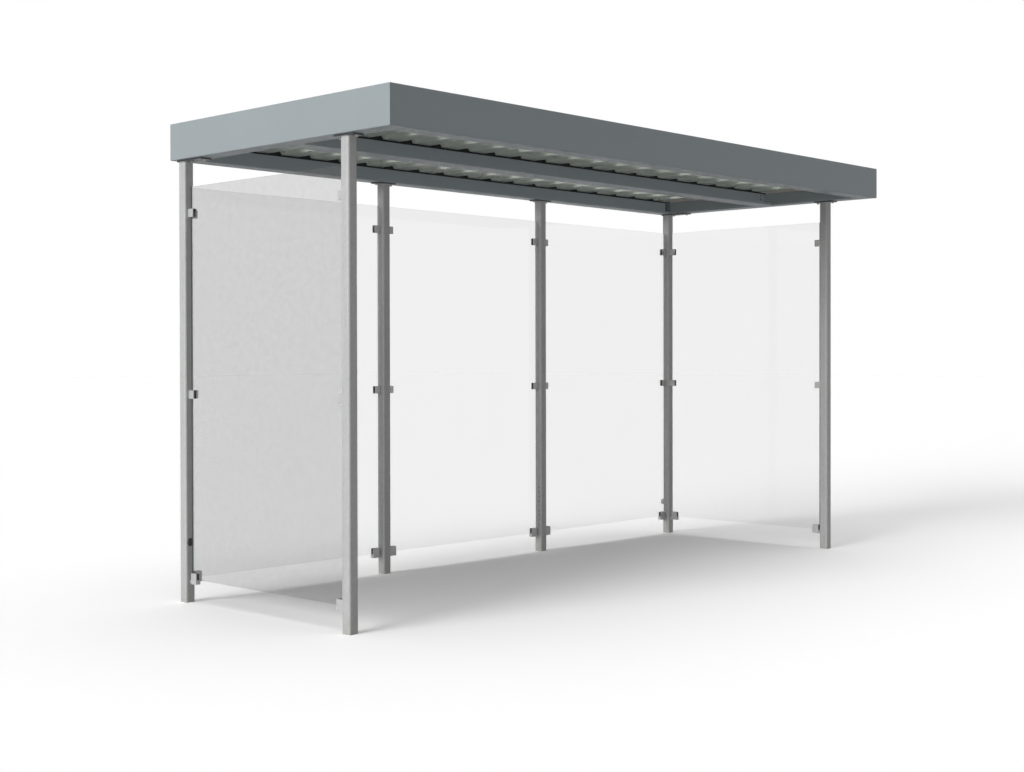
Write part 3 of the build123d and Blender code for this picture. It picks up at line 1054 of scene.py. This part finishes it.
@dataclass
class Drain:
    """The roof outlet's leaf guard and the weld round the spout."""

    plan: ShelterPlan
    guard_radius: float = 34.0 * MM
    guard_height: float = 45.0 * MM
    wire: float = 2.2 * MM
    bars: int = 10
    shoulder: float = 0.6  # the share of the guard's radius over which its wires bend inwards
    bend: float = 80.0  # how far they bend, in degrees
    crown_drop: float = 1.5 * MM
    foot_rise: float = 0.8  # the foot ring's height in wire radii
    spout_radius: float = 20.0 * MM
    bead: float = 3.5 * MM

    def ring(self, radius: float, height: float, tube: float) -> Object:
        """A round ring about the Z axis, spun from a small many-sided section.

        Args:
            radius: the ring's radius.
            height: its height.
            tube: its section's radius.

        Returns:
            The ring, in object mode.
        """
        deselect_all()
        bpy.ops.mesh.primitive_circle_add(
            vertices=8, radius=tube, location=(radius, 0, height), rotation=(math.pi / 2, 0, 0)
        )
        piece = open_mesh(selected=True)
        bpy.ops.mesh.spin(steps=28, angle=2 * math.pi, center=(0, 0, 0), axis=(0, 0, 1))
        close_mesh()
        return piece

    def bar(self) -> Object:
        """One bent wire of the guard, from its foot ring up to its crown.

        Returns:
            The wire, in object mode.
        """
        deselect_all()
        bpy.ops.mesh.primitive_circle_add(
            vertices=8, radius=self.wire, location=(self.guard_radius, 0, 0), fill_type="NGON"
        )
        piece = open_mesh(selected=True)
        rise = self.guard_height - self.guard_radius * self.shoulder
        bpy.ops.mesh.extrude_region_move(TRANSFORM_OT_translate={"value": (0, 0, rise)})
        pivot = (self.guard_radius * (1 - self.shoulder), 0, rise)
        bpy.ops.mesh.spin(steps=7, angle=-math.radians(self.bend), center=pivot, axis=(0, 1, 0))
        close_mesh()
        return piece

    def guard(self) -> Object:
        """The wire leaf guard that stands on the outlet's dish.

        Returns:
            The guard, as one object.
        """
        low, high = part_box("roof_outlet")
        centre = Vector(((low.x + high.x) / 2, (low.y + high.y) / 2, high.z))
        turns = [Matrix.Rotation(2 * math.pi * k / self.bars, 4, "Z") for k in range(self.bars)]
        parts = [self.ring(self.guard_radius, self.wire * self.foot_rise, self.wire)]
        parts += placed_copies(self.bar(), turns)
        parts.append(self.ring(self.guard_radius / 2, self.guard_height - self.crown_drop, self.wire))
        made = joined(parts, "leaf_guard")
        made.data.transform(Matrix.Translation(centre))
        return made

    def spout_weld(self) -> Object:
        """The weld bead round the spout, on the back of the drain post.

        Returns:
            The bead.
        """
        low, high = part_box("drain_spout")
        made = self.ring(self.spout_radius, 0.0, self.bead)
        made.data.transform(Axis.BACK.value)
        made.data.transform(Matrix.Translation(((low.x + high.x) / 2, low.y, (low.z + high.z) / 2)))
        made.name = made.data.name = "spout_weld"
        return made

    def build(self) -> None:
        """Dresses the drain and adds the guard and the bead."""
        self.plan.dress("roof_outlet", Finish.PIPE)
        self.plan.dress("drain_spout", Finish.TUBE)
        finish_piece(self.guard(), Finish.ZINC)
        finish_piece(self.spout_weld(), Finish.WELD)
        LOG.info("drain: leaf guard and spout weld")


@dataclass
class GlassWall:
    """One glass wall: its pane, clamps, rubber and the clamps' small screws."""

    plan: ShelterPlan
    name: str
    posts: tuple[str, str]
    inner: Axis
    glass: Finish
    rubber: Finish
    clamp_heights: tuple[float, float] = (2131.5 * MM, 1140.0 * MM)
    clamp_screws: tuple[float, float] = (34.6 * MM, 13.0 * MM)
    shoe_height: float = 132.5 * MM
    shoe_screw_out: float = 70.0 * MM
    shoe_drop: float = 16.0 * MM
    half_thickness: float = 14.0 * MM
    head_radius: float = 3.6 * MM
    head_depth: float = 0.5 * MM
    head_middle: float = -0.05 * MM
    rim: float = 0.25 * MM
    socket_step: float = 0.42  # from the rim to the socket, as a share of the head's radius
    socket_depth: float = 0.35 * MM

    def screw(self) -> Object:
        """A flush countersunk screw with a hexagon socket, facing +Z, its face at the origin.

        Returns:
            The screw, in object mode.
        """
        piece = start_round(self.head_radius, self.head_depth, self.head_middle, sides=18)
        choose(piece, pointing(Z, 1))
        bpy.ops.mesh.inset(thickness=self.rim)
        bpy.ops.mesh.inset(thickness=self.head_radius * self.socket_step)
        down = {"value": (0, 0, -self.socket_depth)}
        bpy.ops.mesh.extrude_region_move(TRANSFORM_OT_translate=down)
        bpy.ops.object.mode_set(mode="OBJECT")
        return piece

    def screw_places(self) -> list[Matrix]:
        """The places of this wall's screws, on the clamps' inner faces.

        Returns:
            One transform for each screw.
        """
        pane_low, pane_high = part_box(f"glass_{self.name}")
        middle = (pane_low + pane_high) / 2
        middle.z = 0
        across = Y if self.inner is Axis.FRONT else X
        face = self.inner.value.to_3x3() @ Vector((0, 0, self.half_thickness))
        out, rise = self.clamp_screws
        places = []
        for post in self.posts:
            base = self.plan.post_centre(post)
            base.z = 0
            base[across] = middle[across]
            along = (middle - base).normalized()
            spots = [(out, height + step) for height in self.clamp_heights for step in (-rise, rise)]
            spots.append((self.shoe_screw_out, self.shoe_height - self.shoe_drop))
            for reach, height in spots:
                spot = base + along * reach + face + Vector((0, 0, height))
                places.append(Matrix.Translation(spot) @ self.inner.value)
        return places

    def build(self) -> None:
        """Dresses the wall and adds its screws."""
        self.plan.dress(f"glass_{self.name}", self.glass)
        self.plan.dress(f"clamps_{self.name}_", Finish.CLAMP)
        self.plan.dress(f"gaskets_{self.name}", self.rubber)
        places = self.screw_places()
        screws = joined(placed_copies(self.screw(), places), f"clamp_screws_{self.name}")
        finish_piece(screws, Finish.ZINC)
        LOG.info("glass wall %s: %d screws", self.name, len(places))


@dataclass
class Studio:
    """The camera, the floor and the light.

    A broad lamp above and a low one on the left cast the shadows, in a dim even air. Three weaker lamps fill
    the shaded sides and cast none.
    """

    place: tuple[float, float, float] = (-6.7846, -6.0087, 1.3484)
    yaw: float = 46.503
    pitch: float = -0.516
    roll: float = -0.109
    focal_px: float = 1470.07
    frame_px: tuple[int, int] = (1024, 772)
    centre_px: tuple[float, float] = (512.0, 369.01)
    sensor: float = 36.0
    sight: float = 400.0
    air: float = 0.05
    overhead: float = 0.30
    side: float = 1.06
    side_height: float = 12.0
    front_fill: float = 0.21
    left_fill: float = 0.12
    back_fill: float = 0.36
    above_width: float = 70.0  # the lamps' widths are in degrees
    left_width: float = 34.0
    fill_width: float = 60.0
    back_width: float = 20.0
    front_from: tuple[float, float, float] = (0.0, -0.93, -0.36)
    left_from: tuple[float, float, float] = (-0.9, -0.1, -0.38)
    back_from: tuple[float, float, float] = (0.6, 0.8, 0.12)
    fill_spill: float = 0.05  # what the fills add on the open floor
    floor_tone: float = 0.12
    # the floor's own glow: its share where the eye sees the floor, lifting the shadow, and in the light it
    # throws on the shelter
    shade_seen: float = 0.1
    shade_cast: float = 0.8
    floor_size: float = 160.0
    lamp_distance: float = 8.0

    def camera(self) -> None:
        """Makes the camera at the photograph's angle."""
        yaw, pitch, roll = (math.radians(v) for v in (self.yaw, self.pitch, self.roll))
        level_part = math.cos(pitch)
        ahead = Vector((math.sin(yaw) * level_part, math.cos(yaw) * level_part, math.sin(pitch)))
        level = Vector((math.cos(yaw), -math.sin(yaw), 0))
        upright = level.cross(ahead)
        right = math.cos(roll) * level + math.sin(roll) * upright
        up = -math.sin(roll) * level + math.cos(roll) * upright
        turn = Matrix((right, up, -ahead)).transposed().to_4x4()
        data = bpy.data.cameras.new("camera")
        data.sensor_fit = "HORIZONTAL"
        data.sensor_width = self.sensor
        data.lens = self.focal_px * data.sensor_width / self.frame_px[0]
        data.shift_x = (self.frame_px[0] / 2 - self.centre_px[0]) / self.frame_px[0]
        data.shift_y = (self.centre_px[1] - self.frame_px[1] / 2) / self.frame_px[0]
        data.clip_end = self.sight
        made = bpy.data.objects.new("camera", data)
        made.matrix_world = Matrix.Translation(self.place) @ turn
        bpy.context.scene.collection.objects.link(made)
        bpy.context.scene.camera = made

    def seen(self, add: Adder) -> Node:
        """Adds a node that gives 1 where the eye meets a surface straight, in a mirror or through glass.

        Args:
            add: add_node for the tree.

        Returns:
            The node.
        """
        path = add("ShaderNodeLightPath").outputs
        eye = {0: path["Is Camera Ray"], 1: path["Is Glossy Ray"]}
        first = add("ShaderNodeMath", eye, operation="MAXIMUM")
        glass = {0: first, 1: path["Is Transmission Ray"]}
        either = add("ShaderNodeMath", glass, operation="MAXIMUM")
        direct = add("ShaderNodeMath", {0: path["Diffuse Depth"], 1: 0.5}, operation="LESS_THAN")
        return add("ShaderNodeMath", {0: either, 1: direct}, operation="MULTIPLY")

    def lamp(
        self, name: str, toward: Iterable[float], level: float, width: float, shadows: bool = False
    ) -> None:
        """Adds one broad lamp.

        Args:
            name: its name.
            toward: the direction from the shelter to the lamp.
            level: 1 lights a white surface that faces it to white.
            width: how wide it looks, in degrees.
            shadows: whether it casts shadows and shows in reflections.
        """
        data = bpy.data.lights.new(name, "SUN")
        data.energy = math.pi * level
        data.angle = math.radians(width)
        data.use_shadow = shadows
        data.cycles.use_multiple_importance_sampling = shadows
        made = bpy.data.objects.new(name, data)
        made.rotation_euler = Vector(toward).to_track_quat("Z", "Y").to_euler()
        made.location = Vector(toward) * self.lamp_distance
        made.visible_glossy = shadows
        bpy.context.scene.collection.objects.link(made)

    def lights(self) -> None:
        """Makes the air and the lamps."""
        world = bpy.data.worlds.new("air")
        bpy.context.scene.world = world
        world.use_nodes = True
        world.node_tree.nodes.clear()
        add = partial(add_node, world.node_tree)
        dim = add("ShaderNodeBackground", {"Color": linear("#FFFFFF"), "Strength": self.air})
        white = add("ShaderNodeBackground", {"Color": linear("#FFFFFF"), "Strength": 1.0})
        mixed = add("ShaderNodeMixShader", {0: self.seen(add), 1: dim, 2: white})
        add("ShaderNodeOutputWorld", {"Surface": mixed})
        rise = math.radians(self.side_height)
        from_left = (-math.cos(rise), 0, math.sin(rise))
        self.lamp("lamp_above", (0, 0, 1), self.overhead, self.above_width, shadows=True)
        self.lamp("lamp_left", from_left, self.side, self.left_width, shadows=True)
        self.lamp("fill_front", self.front_from, self.front_fill, self.fill_width)
        self.lamp("fill_left", self.left_from, self.left_fill, self.fill_width)
        self.lamp("fill_back", self.back_from, self.back_fill, self.back_width)

    def floor_light(self) -> float:
        """How bright a white floor in the open is."""
        from_left = self.side * math.sin(math.radians(self.side_height))
        return self.air + self.overhead + from_left + self.fill_spill

    def floor(self) -> None:
        """Makes the pale floor, which shows white in the open and keeps the shelter's shadow."""
        deselect_all()
        bpy.ops.mesh.primitive_plane_add(size=self.floor_size, location=(0, 0, 0))
        made = bpy.context.object
        made.name = made.data.name = "studio_floor"
        material, add = new_material("pale_floor")
        seen = self.seen(add)
        level = add("ShaderNodeMapRange", spread(seen, self.floor_tone, 1 / self.floor_light(), 0.0, 1.0))
        lift = add("ShaderNodeMapRange", spread(seen, self.shade_cast, self.shade_seen, 0.0, 1.0))
        tone = add("ShaderNodeCombineColor", {k: level for k in range(3)})
        # painted light: the floor glows, a little where the eye sees it and mostly in the light it throws on
        # the shelter
        own = add("ShaderNodeEmission", {"Color": tone, "Strength": self.floor_light()})
        lit = add("ShaderNodeBsdfDiffuse", {"Color": tone})
        shader = add("ShaderNodeMixShader", {0: lift, 1: lit, 2: own})
        add("ShaderNodeOutputMaterial", {"Surface": shader})
        made.data.materials.append(material)

    def build(self) -> None:
        """Makes the whole studio."""
        self.camera()
        self.lights()
        self.floor()
        scene = bpy.context.scene
        scene.view_settings.view_transform = "Standard"
        scene.cycles.caustics_refractive = False
        scene.cycles.caustics_reflective = False
        LOG.info("studio: camera, floor and lamps")


def main() -> None:
    """Builds the shelter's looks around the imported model, in order."""
    logging.basicConfig(level=logging.INFO, format="%(name)s: %(message)s")
    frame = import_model()
    plan = ShelterPlan(frame["nodes"])

    Posts(plan).build()
    HeadPlates(plan, HexBolt()).build()
    RoofFrame(plan).build()
    RoofSheet(plan, SheetScrews()).build()
    Drain(plan).build()
    for name, posts, inner, glass, rubber in (
        ("left", ("rear_left", "front_left"), Axis.RIGHT, Finish.SHADED_SIDE, Finish.LIGHTER_SIDE_RUBBER),
        ("right", ("rear_right", "front_right"), Axis.LEFT, Finish.CLEAR_SIDE, Finish.LIGHTER_SIDE_RUBBER),
        ("rear_left", ("rear_left", "rear_mid_left"), Axis.FRONT, Finish.CLEAR, Finish.RUBBER),
        ("rear_mid", ("rear_mid_left", "rear_mid_right"), Axis.FRONT, Finish.CLEAR, Finish.RUBBER),
        ("rear_right", ("rear_mid_right", "rear_right"), Axis.FRONT, Finish.CLEAR, Finish.RUBBER),
    ):
        GlassWall(plan, name, posts, inner, glass, rubber).build()
    Studio().build()


if __name__ == "__main__":
    main()
